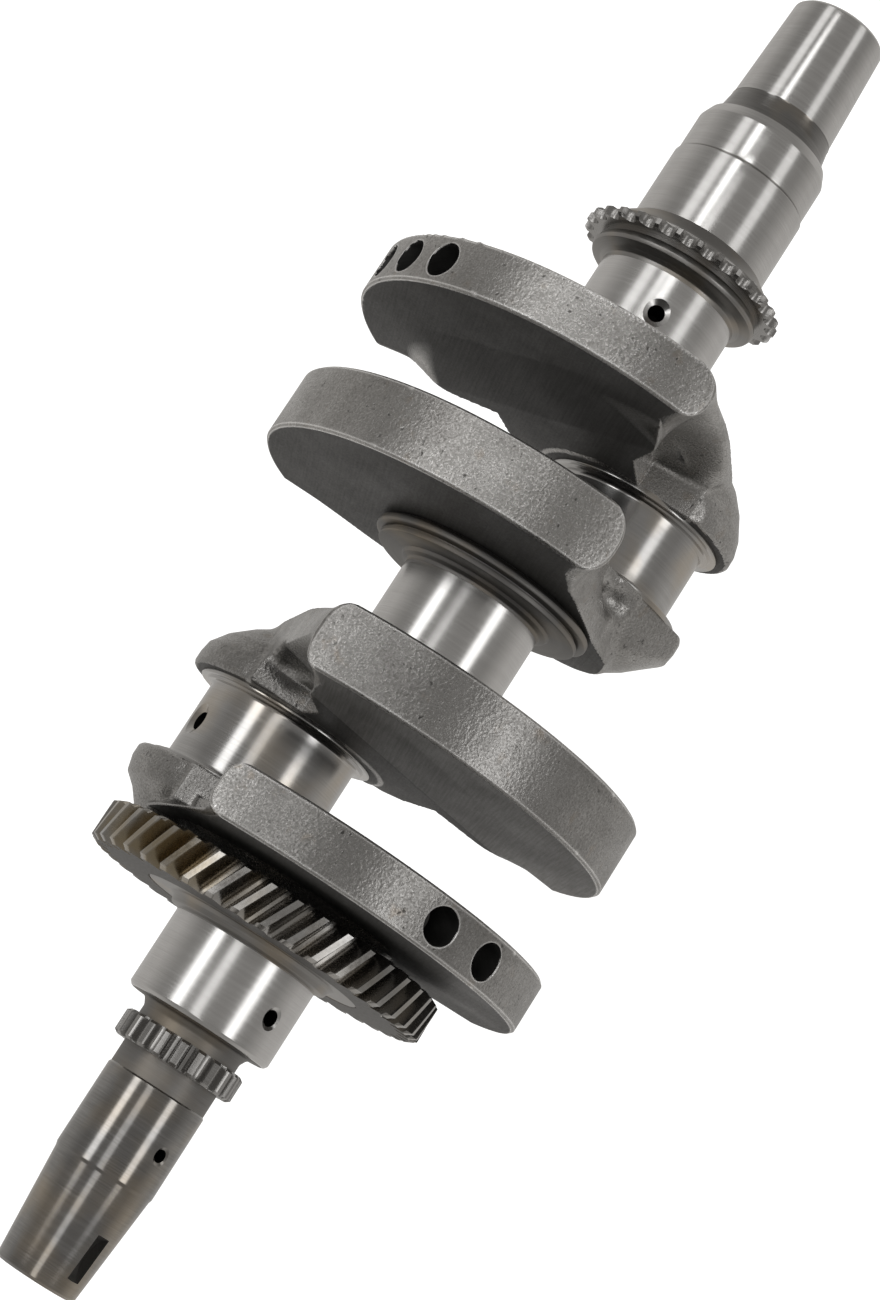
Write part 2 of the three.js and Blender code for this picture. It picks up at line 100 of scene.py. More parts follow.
def rounded(outline, steps=4):
    """An outline of (x, radius, fillet) with each corner that has a fillet made round."""
    points = [np.array(p[:2], float) for p in outline]
    fillets = [p[2] if len(p) > 2 else 0 for p in outline]
    result = []
    for i, (point, fillet) in enumerate(zip(points, fillets)):
        if not fillet or i in (0, len(points) - 1):
            result.append(point)
            continue
        before, after = points[i - 1] - point, points[i + 1] - point
        lengths = np.linalg.norm(before), np.linalg.norm(after)
        cosine = before @ after / (lengths[0] * lengths[1])
        half_angle = math.acos(max(-1, min(1, cosine))) / 2
        cut = min(fillet / math.tan(half_angle), FILLET_SHARE * min(lengths))
        start, end = point + before / lengths[0] * cut, point + after / lengths[1] * cut
        for step in range(steps + 1):
            t = step / steps
            result.append((1 - t) ** 2 * start + 2 * t * (1 - t) * point + t * t * end)
    return result


def refined(points, longest):
    """The same line with no step longer than the given length."""
    result = [points[0]]
    for a, b in zip(points, points[1:]):
        count = max(1, math.ceil(np.linalg.norm(b - a) / longest))
        result += [a + (b - a) * (i + 1) / count for i in range(count)]
    return result


def lathe(name, outline, centre=(0, 0), segments=160, longest=4.0):
    """A solid turned about an axis along X through centre (y, z), closed with a flat face at each end."""
    points = refined(rounded(outline), longest)
    turn = np.arange(segments) * 2 * math.pi / segments
    verts = [
        (x, centre[0] + radius * math.sin(a), centre[1] + radius * math.cos(a))
        for x, radius in points
        for a in turn
    ]
    faces = ring_faces(len(points), segments)
    faces.append(list(range(segments)))
    last = (len(points) - 1) * segments
    faces.append([last + i for i in reversed(range(segments))])
    return new_object(name, verts, faces)


def ring_faces(rings, count, closed=False):
    """Quads between neighbouring rings of the same number of points, facing out as X grows."""
    faces = []
    for ring in range(rings if closed else rings - 1):
        a, b = ring * count, (ring + 1) % rings * count
        faces += [(a + i, b + i, b + (i + 1) % count, a + (i + 1) % count) for i in range(count)]
    return faces


def mirrored(side, outline):
    """An outline given for the +X side, placed on the side it is for."""
    placed = [(side * p[0], *p[1:]) for p in outline]
    return placed if side > 0 else placed[::-1]


# How far a drill's point goes past its full width, for each millimetre of radius
DRILL_POINT = 0.6


def drill(x, degrees, radius, from_r, surface_r, chamfer, finish, centre=(0, 0)):
    """A cutter for a radial hole with a drill-point bottom and a chamfered mouth at the surface.

    The chamfer widens past the surface, and the cutter ends well clear of it.
    """
    mouth_r = radius + chamfer + 2
    outline = [
        (from_r - radius * DRILL_POINT, 0.02),
        (from_r, radius),
        (surface_r - chamfer * 0.6, radius),
        (surface_r + 1.2, mouth_r),
        (surface_r + 6, mouth_r),
    ]
    segments = 48
    cutter = lathe("drill", outline, segments=segments, longest=60)
    # The bore's walls are painted near black for the shade inside the hole
    cutter.data.materials.append(materials["bore"])
    cutter.data.materials.append(materials[finish])
    chamfer_ring = range(2 * segments, 3 * segments)
    for index in chamfer_ring:
        cutter.data.polygons[index].material_index = 1
    y, z = radial(degrees)
    toward = Vector((0, y, z))
    along = Vector((1, 0, 0))
    basis = Matrix((toward, along, toward.cross(along))).transposed()
    cutter.data.transform(basis.to_4x4())
    cutter.data.transform(Matrix.Translation(Vector((x, *centre)) * MM))
    return cutter


def carve(obj, finish, cutters):
    """Cuts the cutters out of the object and removes them. The cut faces take the cutter's finish."""
    obj.data.materials.append(materials[finish])
    for cutter in cutters:
        cut = obj.modifiers.new("cut", "BOOLEAN")
        cut.operation = "DIFFERENCE"
        cut.solver = "EXACT"
        cut.material_mode = "TRANSFER"
        cut.object = cutter
    evaluated = obj.evaluated_get(bpy.context.evaluated_depsgraph_get())
    obj.data = bpy.data.meshes.new_from_object(evaluated)
    obj.modifiers.clear()
    for cutter in cutters:
        bpy.data.objects.remove(cutter)
    return obj


# ------------------------ solids from distance fields


def polygon_distance(x, y, corners):
    """Distance to a closed polygon, negative inside."""
    best = np.full(np.broadcast(x, y).shape, np.inf)
    inside = np.zeros(best.shape, bool)
    for (ax, ay), (bx, by) in zip(corners, corners[1:] + corners[:1]):
        ex, ey = bx - ax, by - ay
        wx, wy = x - ax, y - ay
        t = np.clip((wx * ex + wy * ey) / (ex * ex + ey * ey), 0, 1)
        best = np.minimum(best, np.hypot(wx - ex * t, wy - ey * t))
        if ay != by:
            crosses = (ay > y) != (by > y)
            inside ^= crosses & (x < ax + (y - ay) * ex / ey)
    return np.where(inside, -best, best)


def soft_min(a, b, width):
    """The union of two solids' fields, blended with a fillet of about the given width."""
    h = np.maximum(width - np.abs(a - b), 0) / width
    return np.minimum(a, b) - h * h * width / 4


def soft_max(a, b, width):
    """The overlap of two solids' fields, blended in the same way."""
    return -soft_min(-a, -b, width)


# How often a crossed grid edge is halved to find the surface, and the step that gives its slope
HALVINGS = 10
SLOPE_STEP = 0.02
# Keeps a cell's corner near the middle of its points where they lie in one plane
PULL_TO_MEAN = 0.03


def contour(field, lows, highs, cell):
    """A closed mesh of the field's zero surface, by dual contouring, which keeps sharp edges sharp.

    Each crossed grid edge gives a point on the surface and the slope there. Each cell then gets one
    corner, where the planes of its points meet, and each crossed edge gets a quad of four corners.
    """
    axes = [np.arange(low, high + cell, cell) for low, high in zip(lows, highs)]
    grid = field(*np.meshgrid(*axes, indexing="ij"))
    shape = np.array(grid.shape)
    keys, points, normals, quads = [], [], [], []
    for axis in range(3):
        step = np.eye(3, dtype=int)[axis]
        first = grid[tuple(slice(0, n - d) for n, d in zip(shape, step))]
        second = grid[tuple(slice(d, n) for n, d in zip(shape, step))]
        nodes = np.argwhere((first < 0) != (second < 0))
        if not len(nodes):
            continue
        start = np.stack([axes[k][nodes[:, k]] for k in range(3)], 1)
        near, far = np.zeros(len(nodes)), np.ones(len(nodes))
        starts_inside = first[tuple(nodes.T)] < 0
        for _ in range(HALVINGS):
            half = (near + far) / 2
            probe = start + half[:, None] * step * cell
            same = (field(*probe.T) < 0) == starts_inside
            near, far = np.where(same, half, near), np.where(same, far, half)
        hit = start + ((near + far) / 2)[:, None] * step * cell
        slope = np.stack(
            [field(*(hit + SLOPE_STEP * e).T) - field(*(hit - SLOPE_STEP * e).T) for e in np.eye(3)], 1
        )
        slope /= np.linalg.norm(slope, axis=1, keepdims=True) + 1e-12
        u, v = np.eye(3, dtype=int)[(axis + 1) % 3], np.eye(3, dtype=int)[(axis + 2) % 3]
        cells = [nodes - u - v, nodes - v, nodes, nodes - u]
        flat = [c[:, 0] * shape[1] * shape[2] + c[:, 1] * shape[2] + c[:, 2] for c in cells]
        quad = np.stack(flat, 1)
        quad[~starts_inside] = quad[~starts_inside][:, ::-1]
        quads.append(quad)
        keys += flat
        points += [hit] * 4
        normals += [slope] * 4
    keys, points, normals = np.concatenate(keys), np.concatenate(points), np.concatenate(normals)
    cells, index = np.unique(keys, return_inverse=True)
    count = np.bincount(index)
    mean = np.stack([np.bincount(index, points[:, k]) for k in range(3)], 1) / count[:, None]
    offset = points - mean[index]
    along = (normals * offset).sum(1)
    matrix = np.empty((len(cells), 3, 3))
    right = np.empty((len(cells), 3))
    for i in range(3):
        right[:, i] = np.bincount(index, normals[:, i] * along)
        for j in range(3):
            matrix[:, i, j] = np.bincount(index, normals[:, i] * normals[:, j])
    matrix += np.eye(3) * PULL_TO_MEAN
    shift = np.linalg.solve(matrix, right[:, :, None])[:, :, 0]
    length = np.linalg.norm(shift, axis=1, keepdims=True)
    verts = mean + shift * np.minimum(1, cell / (length + 1e-9))
    faces = np.searchsorted(cells, np.concatenate(quads))
    return verts, faces


# ------------------------ webs

THROWS = {
    1: {"side": -1, "angle": -45, "rim": (-77, 68), "crown": 5.5, "flatness": 3.2},
    2: {"side": 1, "angle": 45, "rim": (-65, 77), "crown": 7.5, "flatness": 2.6},
}
# Where the lobes beside each crankpin end, as distances from the middle of the shaft
PIN_FACES = {1: (43.25, 71.75), 2: (41.5, 68.25)}
# Where each web's plate starts and ends, as distances from the middle of the shaft
WEB_FACES = {
    "web_1": (71.75, 87.75),
    "web_2": (20.25, 41.25),
    "web_3": (20.25, 41.25),
    "web_4": (71.75, 87.75),
}
RIM_R = 76.5
# Both outlines of a web run past the rim, which cuts them off, round this point in (p, q)
FAR_POINT = (0, RIM_R * 1.8)
# How far the last line of each outline runs, as a share of its way to the rim
WAIST_REACH = 1.3
FAN_REACH = 1.25
LOBE_R = 33.1
# A lobe stops a little short of the plate's far face, so that the two do not lie in one plane
SHORT = 1.2
LOBE_ROUND = 1.5
# Half the width of the web at the crankpin's axis
FOOT_HALF = 20.0
# Corners of each neck from the crankpin up, as (p, q): p across the web, q towards its counterweight
FULL_NECK = [(33.5, -23.0), (33.5, -12.0), (27.5, 7.0)]
NOTCHED_NECK = {
    "web_1": [(34.5, -23.5), (22.3, -11.0), (30.0, 3.0)],
    "web_2": [(34.5, -23.5), (22.3, -11.0), (30.0, 3.0)],
    "web_3": [(27.5, -30.0), (27.0, -13.0), (45.0, 13.0)],
    "web_4": [(30.0, -27.0), (17.5, -14.5), (28.0, 3.0)],
}
# Corners of the near flank at the journal side, from the rim down, where that flank is not straight
NEAR_FAN = {"web_3": [(-47.0, 15.0), (-41.5, 3.0), (-28.5, -24.0), (-23.5, -38.0)]}
# Flat cut on the near side of each lobe: its slant from the counterweight direction, its distance from
# the shaft axis, and how far it closes in for each millimetre away from the crankpin
NEAR_CUT = {
    "web_1": (45, 8.0, 0.0),
    "web_2": (45, 8.0, 0.0),
    "web_3": (90, 28.5, 0.2),
    "web_4": (45, 2.2, 0.0),
}
# On the raised faces, the slope starts at the crease and ends nearer the counterweight
CREASE_Q = 15.0
SLOPE_END_Q = 45.0
# The crown and the end of the raised area each fade in between these two distances from the shaft axis
CROWN_FADE = (44, 68)
RAISED_FADE = (48, 66)
# A smaller power makes the crown's shoulders squarer
CROWN_ROUND = 0.6
FLANK_BEVEL = 0.5
RIM_BEVEL = 0.8
LOBE_BEVEL = 0.4
LOBE_BLEND = 2
DENT_BLEND = 3
# A field value that leaves a cut out where it does not apply
NO_CUT = -1e3
# Grid step of the webs' meshes
CELL = 0.9


def necks(node, throw_number, throw):
    """The outline between crankpin and counterweight: its +p side upwards, then its -p side downwards."""
    notched = NOTCHED_NECK[node]
    plus, minus = (notched, FULL_NECK) if throw_number == 1 else (FULL_NECK, notched)
    foot = (FOOT_HALF, -throw)
    return [foot, *plus], [(-p, q) for p, q in reversed([foot, *minus])]


def past(start, end, reach):
    """A point on the line from start to end, at a share of its length."""
    return tuple(a + reach * (b - a) for a, b in zip(start, end))


def waisted_corners(node, throw_number, throw):
    """Outline at the pin side, in (p, q), with the crankpin towards -q."""
    left, right = (RIM_R * radial(end) for end in THROWS[throw_number]["rim"])
    plus, minus = necks(node, throw_number, throw)
    ends = past(plus[-1], right, WAIST_REACH), past(minus[0], left, WAIST_REACH)
    return [*plus, ends[0], FAR_POINT, ends[1], *minus]


def fan_corners(rim, throw, end_r, near_flank):
    """Outline at the journal side, whose flanks run straight to a circle about the crankpin."""
    left, right = (RIM_R * radial(end) for end in rim)
    touches = []
    for turn, (p, q) in ((-1, left), (1, right)):
        opening = math.acos(end_r / math.hypot(p, q + throw))
        touches.append(math.atan2(q + throw, p) - turn * opening)
    arc = [
        (end_r * math.cos(a), end_r * math.sin(a) - throw)
        for a in np.linspace(touches[0], 2 * math.pi + touches[1], 13)
    ]
    top = past(next(iter(near_flank), arc[0]), left, FAN_REACH)
    return [*arc, past(arc[-1], right, FAN_REACH), FAR_POINT, top, *near_flank]


# Distance from a drill point's cone for each millimetre straight below it
CONE_SHARE = 0.85


def drilled(field_value, s, p, q, holes):
    """Cuts radial drillings with drill-point bottoms. A hole is (s, angle from +q, radius, bottom)."""
    for hole_s, angle, radius, bottom in holes:
        along = p * math.sin(angle) + q * math.cos(angle)
        across = np.hypot(s - hole_s, p * math.cos(angle) - q * math.sin(angle))
        point = bottom - (radius - across) * DRILL_POINT
        wall = np.maximum(across - radius, (point - along) * CONE_SHARE)
        field_value = np.maximum(field_value, -wall)
    return field_value


def smooth_step(value, low, high):
    """Goes smoothly from 0 at low to 1 at high."""
    t = np.clip((value - low) / (high - low), 0, 1)
    return t * t * (3 - 2 * t)


DIAGONAL = 0.7071


def bevelled(a, b, width):
    """The overlap of two fields, with a small flat bevel along their common edge."""
    return np.maximum(np.maximum(a, b), (a + b + width) * DIAGONAL)


def web(node, throw_number, inner, lobe, fan_r, cheek, blend=5, hub=(), holes=(), dents=()):
    """One web: a forged counterweight and lobe with machined side faces."""
    shape = THROWS[throw_number]
    side, angle = shape["side"], shape["angle"]
    pin_y, pin_z = middle(f"crankpin_{throw_number}")
    throw = math.hypot(pin_y, pin_z)
    near, far = WEB_FACES[node]
    thickness = far - near
    lobe_s = [s for s, _ in lobe]
    lobe_start, lobe_end = min(lobe_s) - LOBE_ROUND, max(lobe_s) + LOBE_ROUND
    raised = (lobe_end - far) if inner else (near - lobe_start)
    waist_outline = waisted_corners(node, throw_number, throw)
    up, across = radial(angle), radial(angle + 90)
    slant, cut_at, closing = NEAR_CUT[node]
    cut_sin, cut_cos = radial(slant)
    fan_outline = fan_corners(shape["rim"], throw, fan_r, NEAR_FAN.get(node, ()))

    def field(s, p, q):
        depth = far - s if inner else s - near
        off_middle = np.abs(np.clip(2 * depth / thickness - 1, -1, 1))
        crown = shape["crown"] * (1 - (1 - off_middle ** shape["flatness"]) ** CROWN_ROUND)
        radius = np.hypot(p, q)
        share = smooth_step(depth, cheek, cheek + blend)
        flank = (1 - share) * polygon_distance(p, q, waist_outline)
        flank = flank + share * polygon_distance(p, q, fan_outline)
        flank = flank + crown * smooth_step(radius, *CROWN_FADE)
        fall = np.clip((q - CREASE_Q) / (SLOPE_END_Q - CREASE_Q), 0, 1)
        proud = raised * (1 - fall) * (1 - smooth_step(radius, *RAISED_FADE))
        body = bevelled(flank, np.maximum(-depth - proud, depth - thickness), FLANK_BEVEL)
        body = bevelled(body, radius - RIM_R, RIM_BEVEL)
        pin_r = np.hypot(p, q + throw)
        level = q * cut_cos - side * p * cut_sin - cut_at + closing * depth
        end = polygon_distance(s, pin_r, lobe) - LOBE_ROUND
        near_level = np.where(side * p < 0, level, NO_CUT)
        body = soft_min(body, bevelled(end, near_level, LOBE_BEVEL), LOBE_BLEND)
        if hub:
            body = soft_min(body, polygon_distance(s, radius, list(hub)), LOBE_BLEND)
        y, z = p * across[0] + q * up[0], p * across[1] + q * up[1]
        for middle_at, size in dents:
            offsets = [(a - b) / c for a, b, c in zip((s, y, z), middle_at, size)]
            inside = np.sqrt(sum(offset**2 for offset in offsets))
            body = soft_max(body, (1 - inside) * min(size), DENT_BLEND)
        return drilled(body, s, p, q, holes)

    margin = 3
    hub_s = [s for s, _ in hub]
    first, last = min(near, lobe_start, *hub_s), max(far, lobe_end, *hub_s)
    lows = (first - margin, -RIM_R - margin, -throw - LOBE_R - margin)
    highs = (last + margin, RIM_R + margin, RIM_R + margin)
    verts, faces = contour(field, lows, highs, CELL)
    s, p, q = verts.T
    world = np.stack([side * s, p * across[0] + q * up[0], p * across[1] + q * up[1]], 1)
    # s runs against the shaft on the -X side, which turns the faces over
    if side < 0:
        faces = faces[:, ::-1]
    obj = new_object(f"{node}_forging", world, faces.tolist())
    obj.data.materials.append(materials[f"forged_{throw_number}"])
    obj.data.materials.append(materials["drilled"])
    finish_holes(obj, verts[faces].mean(1), holes)
    return obj


def finish_holes(obj, middles, holes):
    """Gives the faces inside each balance drilling the object's second material."""
    s, p, q = middles.T
    for hole_s, angle, radius, _ in holes:
        off_axis = p * math.cos(angle) - q * math.sin(angle)
        near_axis = np.hypot(s - hole_s, off_axis) < radius + 0.05
        below_rim = np.hypot(p, q) < RIM_R - 0.5
        outward = p * math.sin(angle) + q * math.cos(angle) > 0
        for index in np.flatnonzero(near_axis & below_rim & outward):
            obj.data.polygons[int(index)].material_index = 1


def inner_lobe(near, face):
    """Half section of the lobe round a crankpin's end, for a web towards the middle of the shaft."""
    r = LOBE_ROUND
    return [
        (near + SHORT + r, 0),
        (near + SHORT + r, 17),
        (near + 5 + r, 22.5),
        (near + 10 + r, 28),
        (face - 7, 32.6 - r),
        (face - 4, LOBE_R - r),
        (face - r, LOBE_R - r),
        (face - r, 0),
    ]


def outer_lobe(face, far, hub_end):
    """The same for a web towards an end of the shaft, where the lobe slopes down to the hub."""
    r = LOBE_ROUND
    return [
        (face + r, 0),
        (face + r, LOBE_R - r),
        (face + 4, LOBE_R - r),
        (face + 8, 32 - r),
        (far - 5, 28.5 - r),
        (far, 24.5 - r),
        (hub_end - SHORT - r, 14),
        (hub_end - SHORT - r, 0),
    ]


HOLE_R = 5.6
HOLE_BOTTOM = 61.6


def balance_holes(angles, throw_number):
    """Holes at world angles in the middle of an outer web's rim, turned into the web's own frame."""
    own = THROWS[throw_number]["angle"]
    mid_plate = sum(WEB_FACES["web_1"]) / 2
    return [(mid_plate, math.radians(a - own), HOLE_R, HOLE_BOTTOM) for a in angles]


def build_webs():
    """The four webs. Lobes and hubs are half sections, as (distance along the shaft, radius)."""
    far = WEB_FACES["web_1"][1]
    inner_near = WEB_FACES["web_2"][0]
    # A hub starts inside the plate and ends at the section beside it
    inside = 80
    hub_1 = -span("balancer_drive_gear")[1]
    hub_4 = span("main_journal_3")[0]
    (pin_1_in, pin_1_out), (pin_2_in, pin_2_out) = PIN_FACES[1], PIN_FACES[2]
    return {
        "web_1": web(
            "web_1", 1, False, outer_lobe(pin_1_out, far, hub_1), fan_r=24, cheek=11,
            hub=((inside, 0), (inside, 36), (far, 35), (hub_1, 32), (hub_1, 0)),
            holes=balance_holes((-32, -47.5), 1),
        ),
        "web_2": web(
            "web_2", 1, True, inner_lobe(inner_near, pin_1_in), fan_r=18.5, cheek=4.5,
            dents=[((35.2, 33.0, 15.5), (4.0, 9.0, 8.5))],
        ),
        "web_3": web(
            "web_3", 2, True, inner_lobe(inner_near, pin_2_in), fan_r=18.5, cheek=2, blend=14,
            dents=[((34.5, -36.6, 6.5), (4.2, 6.5, 6.5))],
        ),
        "web_4": web(
            "web_4", 2, False, outer_lobe(pin_2_out, far, hub_4), fan_r=24, cheek=4.5, blend=9.5,
            hub=((inside, 0), (inside, 32), (far, 31), (hub_4, 26), (hub_4, 0)),
            holes=balance_holes((49.5, 62.5, 76), 2),
        ),
    }


# ------------------------ round sections


def taper_end(node, small_r, large_r, small_at_start, chamfer):
    """A taper with a chamfer round its small end."""
    start, end = span(node)
    if small_at_start:
        outline = [(start, small_r - chamfer), (start + chamfer, small_r, 0.4), (end, large_r)]
    else:
        outline = [(start, large_r), (end - chamfer, small_r, 0.4), (end, small_r - chamfer)]
    return lathe(f"{node}_ground", outline, longest=1.5)


def end_thread(x, inward):
    """Cutter for a threaded end hole: a countersink and a bore with thread grooves."""
    radius, pitch, depth, sink = 5.2, 1.75, 30, 1.8
    crest, groove = radius - 0.1, radius + 0.75
    points = [(-4, radius + sink), (0, radius + sink), (sink, radius + 0.1)]
    at = 2.2
    while at < depth - 2:
        points += [(at, crest), (at + pitch / 2, groove)]
        at += pitch
    points += [(depth - 1, crest), (depth + 2, 0.05)]
    outline = [(x + inward * a, r) for a, r in points]
    cutter = lathe("thread", outline if inward > 0 else outline[::-1], segments=64, longest=50)
    # The bore's walls are painted near black for the shade inside the hole
    cutter.data.materials.append(materials["bore"])
    return cutter


def key_slot_cutter(x, degrees, length, width, depth, surface_r):
    """A woodruff slot: a thin disc that dips into the surface."""
    disc_r = ((length / 2) ** 2 + depth**2) / (2 * depth)
    count = 64
    up, across = radial(degrees), radial(degrees + 90)
    verts = []
    for side in (-1, 1):
        for i in range(count):
            a = 2 * math.pi * i / count
            height = surface_r - depth + disc_r + disc_r * math.sin(a)
            y, z = up * height + across * side * width / 2
            verts.append((x + disc_r * math.cos(a), y, z))
    faces = [list(range(count))[::-1], [count + i for i in range(count)]]
    faces += [(i, (i + 1) % count, count + (i + 1) % count, count + i) for i in range(count)]
    cutter = new_object("slot", verts, faces)
    cutter.data.materials.append(materials["slot"])
    fix_normals(cutter)
    return cutter


def fix_normals(obj):
    """Turns every face outwards."""
    work = bmesh.new()
    work.from_mesh(obj.data)
    bmesh.ops.recalc_face_normals(work, faces=work.faces)
    work.to_mesh(obj.data)
    work.free()


def pin(number):
    """A crankpin with a turned disc at each end, which reaches a little into the lobe beside it."""
    side = THROWS[number]["side"]
    inner_face, outer_face = PIN_FACES[number]
    node = f"crankpin_{number}"
    centre = middle(node)
    r, disc_r, proud, into_lobe, recess = 25.0, 29.5, 1.25, 0.5, 0.7
    inner, outer = inner_face + proud, outer_face - proud
    outline = [
        (inner_face - into_lobe, disc_r),
        (inner, disc_r, 0.5),
        (inner, 27.6, 0.3),
        (inner + recess, 27.2, 0.3),
        (inner + recess, r, 1.3),
        (outer - recess, r, 1.3),
        (outer - recess, 27.2, 0.3),
        (outer, 27.6, 0.3),
        (outer, disc_r, 0.5),
        (outer_face + into_lobe, disc_r),
    ]
    obj = lathe(f"{node}_ground", mirrored(side, outline), centre, longest=2.5)
    direction = math.degrees(math.atan2(centre[0], centre[1]))
    hole = drill(side * 58, direction - 71, 3.0, 14, r, 2.3, f"pin_{number}", centre)
    return carve(obj, f"pin_{number}", [hole])


def collar(side):
    """The turned collar between the centre journal and an inner web, with a groove round its step."""
    node = "centre_collar_a" if side < 0 else "centre_collar_b"
    outline = [
        (11.75, 22.5, 0),
        (12.9, 22.7, 0.8),
        (13.4, 24.6, 0.5),
        (14.5, 25.2, 0.4),
        (14.5, 33.6, 0.5),
        (16.1, 33.7, 0.2),
        (16.2, 32.7, 0.2),
        (16.8, 32.7, 0.2),
        (16.9, 35.9, 0.9),
        (18.9, 35.9, 0.9),
        (20.25, 33.5, 0),
    ]
    return lathe(f"{node}_turned", mirrored(side, outline))


# The direction of the key slot and of the oil holes near it, from +Z towards +Y
KEY_ANGLE = -46


def build_round_sections():
    """Every section that is round about the shaft or a crankpin, by CAD node."""
    made = {}

    def add(node, kind, outline, longest=4.0):
        made[node] = lathe(f"{node}_{kind}", outline, longest=longest)

    start, end = span("flywheel_taper")
    taper = taper_end("flywheel_taper", 12.7, 15.4, True, 0.8)
    key_slot = key_slot_cutter(
        start + 12.25, KEY_ANGLE, length=14.5, width=4.8, depth=4.5, surface_r=13.6
    )
    made["flywheel_taper"] = carve(taper, "taper", [end_thread(start, 1), key_slot])

    start, end = span("flywheel_seat")
    outline = [(start, 15.4), (start + 1, 15.75, 0.5), (end - 0.5, 15.75, 0.3), (end, 15.3)]
    add("flywheel_seat", "ground", outline, 1.5)
    hole = drill(-169.5, KEY_ANGLE, 2.0, 9, 15.75, 0.9, "taper")
    carve(made["flywheel_seat"], "taper", [hole])

    start, end = span("pump_gear_neck")
    add("pump_gear_neck", "turned", [(start, 15.3), (end, 15.3)])

    start, end = span("main_journal_1_neck")
    outline = [(start, 16), (end - 2.6, 16, 1.6), (end - 0.4, 17.2, 1.5), (end, 21.6)]
    add("main_journal_1_neck", "turned", outline)

    start, end = span("main_journal_1")
    outline = [(start, 21.6), (start + 0.2, 22.2, 0.3), (start + 1.2, 23, 0.6), (end, 23)]
    add("main_journal_1", "ground", outline, 2)
    hole = drill(-121.5, KEY_ANGLE, 2.5, 12, 23, 1.1, "ground")
    carve(made["main_journal_1"], "ground", [hole])

    start, end = span("drive_gear_seat")
    gear_start = span("balancer_drive_gear")[0]
    outline = [
        (start, 23),
        (start + 0.4, 23.2, 0.3),
        (start + 1.0, 25.6, 0.6),
        (gear_start - 0.9, 26.2, 0.6),
        (gear_start + 0.15, 27.6, 0.5),
        (gear_start + 0.15, 34.75, 0.3),
        (gear_start + 0.6, 34.9),
        (end, 34.9),
    ]
    add("drive_gear_seat", "turned", outline)

    start, end = span("main_journal_2")
    add("main_journal_2", "ground", [(start, 22.5), (end, 22.5)], 2)
    made["centre_collar_a"] = collar(-1)
    made["centre_collar_b"] = collar(1)

    start, end = span("main_journal_3")
    add("main_journal_3", "ground", [(start, 22.5), (end, 22.5)], 2)
    hole = drill(109.5, 0, 2.6, 10, 22.5, 1.9, "ground")
    carve(made["main_journal_3"], "ground", [hole])

    start, end = span("sprocket_collar")
    outline = [
        (start, 22.5),
        (start + 1.3, 22.6, 0.8),
        (start + 2.3, 24.2, 0.8),
        (start + 3.1, 27.5, 0.5),
        (start + 4.2, 28.0, 0.8),
        (start + 5.8, 27.4, 0.5),
        (start + 6.4, 26.6, 0.3),
        (end, 26.6),
    ]
    add("sprocket_collar", "turned", outline)

    start, end = span("seal_cone")
    add("seal_cone", "turned", [(start, 29.4), (start + 0.8, 29.6, 0.5), (end, 22.4)])
    start, end = span("seal_journal")
    add("seal_journal", "ground", [(start, 22.2), (end - 0.5, 22.2, 0.3), (end, 21.5)])

    start, end = span("clutch_shoulder")
    outline = [(start, 21.0), (start + 0.5, 21.6, 0.3), (end - 3.5, 21.6, 1.0), (end, 20.1)]
    add("clutch_shoulder", "ground", outline)
    start, end = span("clutch_neck")
    outline = [
        (start, 20.1),
        (start + 0.6, 18.6, 0.8),
        (start + 3.5, 17.8, 2),
        (end - 0.3, 17.0, 0.2),
        (end, 17.1),
    ]
    add("clutch_neck", "turned", outline)
    taper = taper_end("clutch_taper", 15.4, 16.9, False, 1.0)
    thread = end_thread(span("clutch_taper")[1], -1)
    made["clutch_taper"] = carve(taper, "ground", [thread])
    made["crankpin_1"] = pin(1)
    made["crankpin_2"] = pin(2)
    return made


# ------------------------ gears


def whole_tooth(half):
    """The profile of one tooth from its half, which runs from a gap's middle to the tooth's middle.

    A point is (share of the pitch from the tooth's middle, share of the tooth's height).
    """
    return half + [(-along, height) for along, height in reversed(half[1:-1])]


HELICAL_TOOTH = whole_tooth([
    (-0.5, 0.0), (-0.43, 0.0), (-0.39, 0.04), (-0.36, 0.14), (-0.32, 0.32), (-0.27, 0.52),
    (-0.21, 0.72), (-0.16, 0.88), (-0.14, 0.96), (-0.12, 1.0), (0.0, 1.0),
])
SPUR_TOOTH = whole_tooth([
    (-0.5, 0.0), (-0.40, 0.02), (-0.34, 0.14), (-0.29, 0.4), (-0.25, 0.7), (-0.2, 0.92),
    (-0.12, 1.0), (0.0, 1.0),
])
# A chain roller sits between two teeth, so each side of a tooth is part of a circle
ROLLER_SHARE = 0.4
CHAIN_TOOTH = [
    (along, 1 - math.sqrt(1 - min(1, (0.5 - abs(along)) / ROLLER_SHARE) ** 2))
    for along in np.linspace(-0.5, 0.5, 20, endpoint=False)
]


